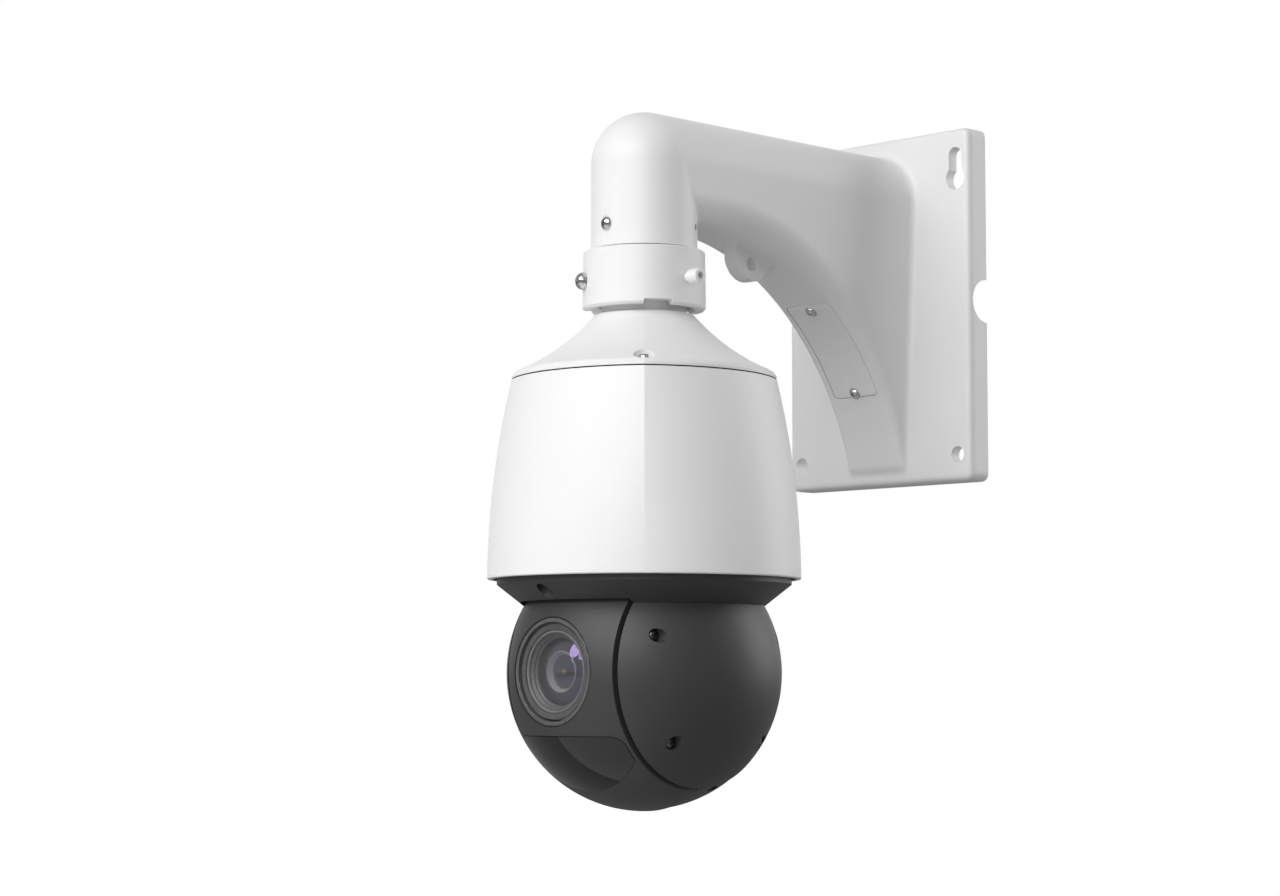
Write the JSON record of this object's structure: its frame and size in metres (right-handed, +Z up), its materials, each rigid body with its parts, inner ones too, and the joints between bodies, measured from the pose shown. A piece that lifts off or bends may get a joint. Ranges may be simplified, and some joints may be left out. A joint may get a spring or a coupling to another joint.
{
  "type": "ptz camera",
  "caption": "Pan-tilt-zoom dome camera on a curved wall arm, with a white shroud and a dark ball head that pans without end and tilts.",
  "frame": {"origin": "centre of the wall plate's back face, on the wall", "axes": "+Z up, +Y into the wall, the camera hangs towards -Y and looks along -Y at rest, +X to the camera's left-hand side seen from the front"},
  "size_m": [0.1752, 0.3056, 0.4031],
  "materials": {
    "white_coat": "fine textured satin powder coat",
    "dark_shell": "fine textured matt charcoal",
    "steel": "bright",
    "rubber": "matt",
    "belt_rubber": "matt",
    "die_cast": "as cast",
    "drive_metal": "turned",
    "motor_case": "satin",
    "circuit_board": "solder mask",
    "black_plastic": "satin",
    "brass_pillar": "turned",
    "clear_glass": "coated",
    "dark_glass": "dark, polished, passes infrared",
    "led_epoxy": "clear dome"
  },
  "bodies": {
    "mount": {"wall_bracket": "white_coat", "access_cover": "white_coat", "cover_gasket": "rubber", "cover_screws": "steel", "tube_lock_screw": "steel", "tube_set_screws": "steel", "mount_collar": "white_coat", "collar_cap_screw": "white_coat", "collar_pan_screws": "steel", "collar_washers": "steel", "neck_tube": "white_coat", "top_cap": "white_coat", "cap_screws": "steel", "seam_gasket": "rubber", "sun_shroud": "white_coat", "upper_housing": "die_cast", "base_plate": "die_cast", "base_screws": "steel", "pan_bearing_outer": "steel", "pan_bearing_balls": "steel", "main_board": "circuit_board", "power_board": "circuit_board", "board_standoffs": "brass_pillar", "pan_motor": "motor_case", "pan_belt": "belt_rubber", "slip_ring_stator": "black_plastic", "power_cable": "belt_rubber"},
    "pan_head": {"pan_yoke": "die_cast", "pan_shaft": "steel", "pan_bearing_inner": "steel", "pan_pulley": "drive_metal", "slip_ring_rotor": "black_plastic", "pan_skirt": "dark_shell", "skirt_screws": "steel", "right_cheek": "dark_shell", "left_cheek": "dark_shell", "cheek_screws": "steel", "tilt_bearing_outer": "steel", "tilt_motor": "motor_case", "tilt_belt": "belt_rubber"},
    "pan_motor_rotor": {"pan_motor_pulley": "drive_metal"},
    "tilt_motor_rotor": {"tilt_motor_pulley": "drive_metal"},
    "tilt_module": {"tilt_hubs": "steel", "tilt_bearing_inner": "steel", "tilt_pulley": "drive_metal", "front_shell": "dark_shell", "rear_shell": "dark_shell", "rear_shell_screws": "steel", "lens_window": "clear_glass", "window_gasket": "rubber", "ir_window": "dark_glass", "tilt_chassis": "die_cast", "zoom_housing": "die_cast", "lens_barrel": "black_plastic", "front_lens": "clear_glass", "sensor_board": "circuit_board", "ir_board": "circuit_board", "ir_leds": "led_epoxy"},
    "zoom_carrier": {"zoom_group": "black_plastic"},
    "focus_carrier": {"focus_group": "black_plastic"}
  },
  "joints": [
    {"name": "pan_turn", "type": "hinge", "parent": "mount", "child": "pan_head", "pos_m": [0, -0.218, -0.1405], "axis": [0, 0, 1], "continuous": true},
    {"name": "tilt_turn", "type": "hinge", "parent": "pan_head", "child": "tilt_module", "pos_m": [0, -0.218, -0.2205], "axis": [1, 0, 0], "range_deg": [-15, 90]},
    {"name": "pan_motor_turn", "type": "hinge", "parent": "mount", "child": "pan_motor_rotor", "pos_m": [0.03041, -0.24841, -0.1325], "axis": [0, 0, 1], "continuous": true},
    {"name": "tilt_motor_turn", "type": "hinge", "parent": "pan_head", "child": "tilt_motor_rotor", "pos_m": [0.054, -0.218, -0.1585], "axis": [1, 0, 0], "range_deg": [-60, 360]},
    {"name": "zoom_slide", "type": "slide", "parent": "tilt_module", "child": "zoom_carrier", "axis": [0, 1, 0], "range_m": [0, 0.018]},
    {"name": "focus_slide", "type": "slide", "parent": "tilt_module", "child": "focus_carrier", "axis": [0, 1, 0], "range_m": [0, 0.01]}
  ],
  "couplings": [
    {"joint": "pan_motor_turn", "follows": "pan_turn", "ratio": 4},
    {"joint": "tilt_motor_turn", "follows": "tilt_turn", "ratio": 4}
  ]
}
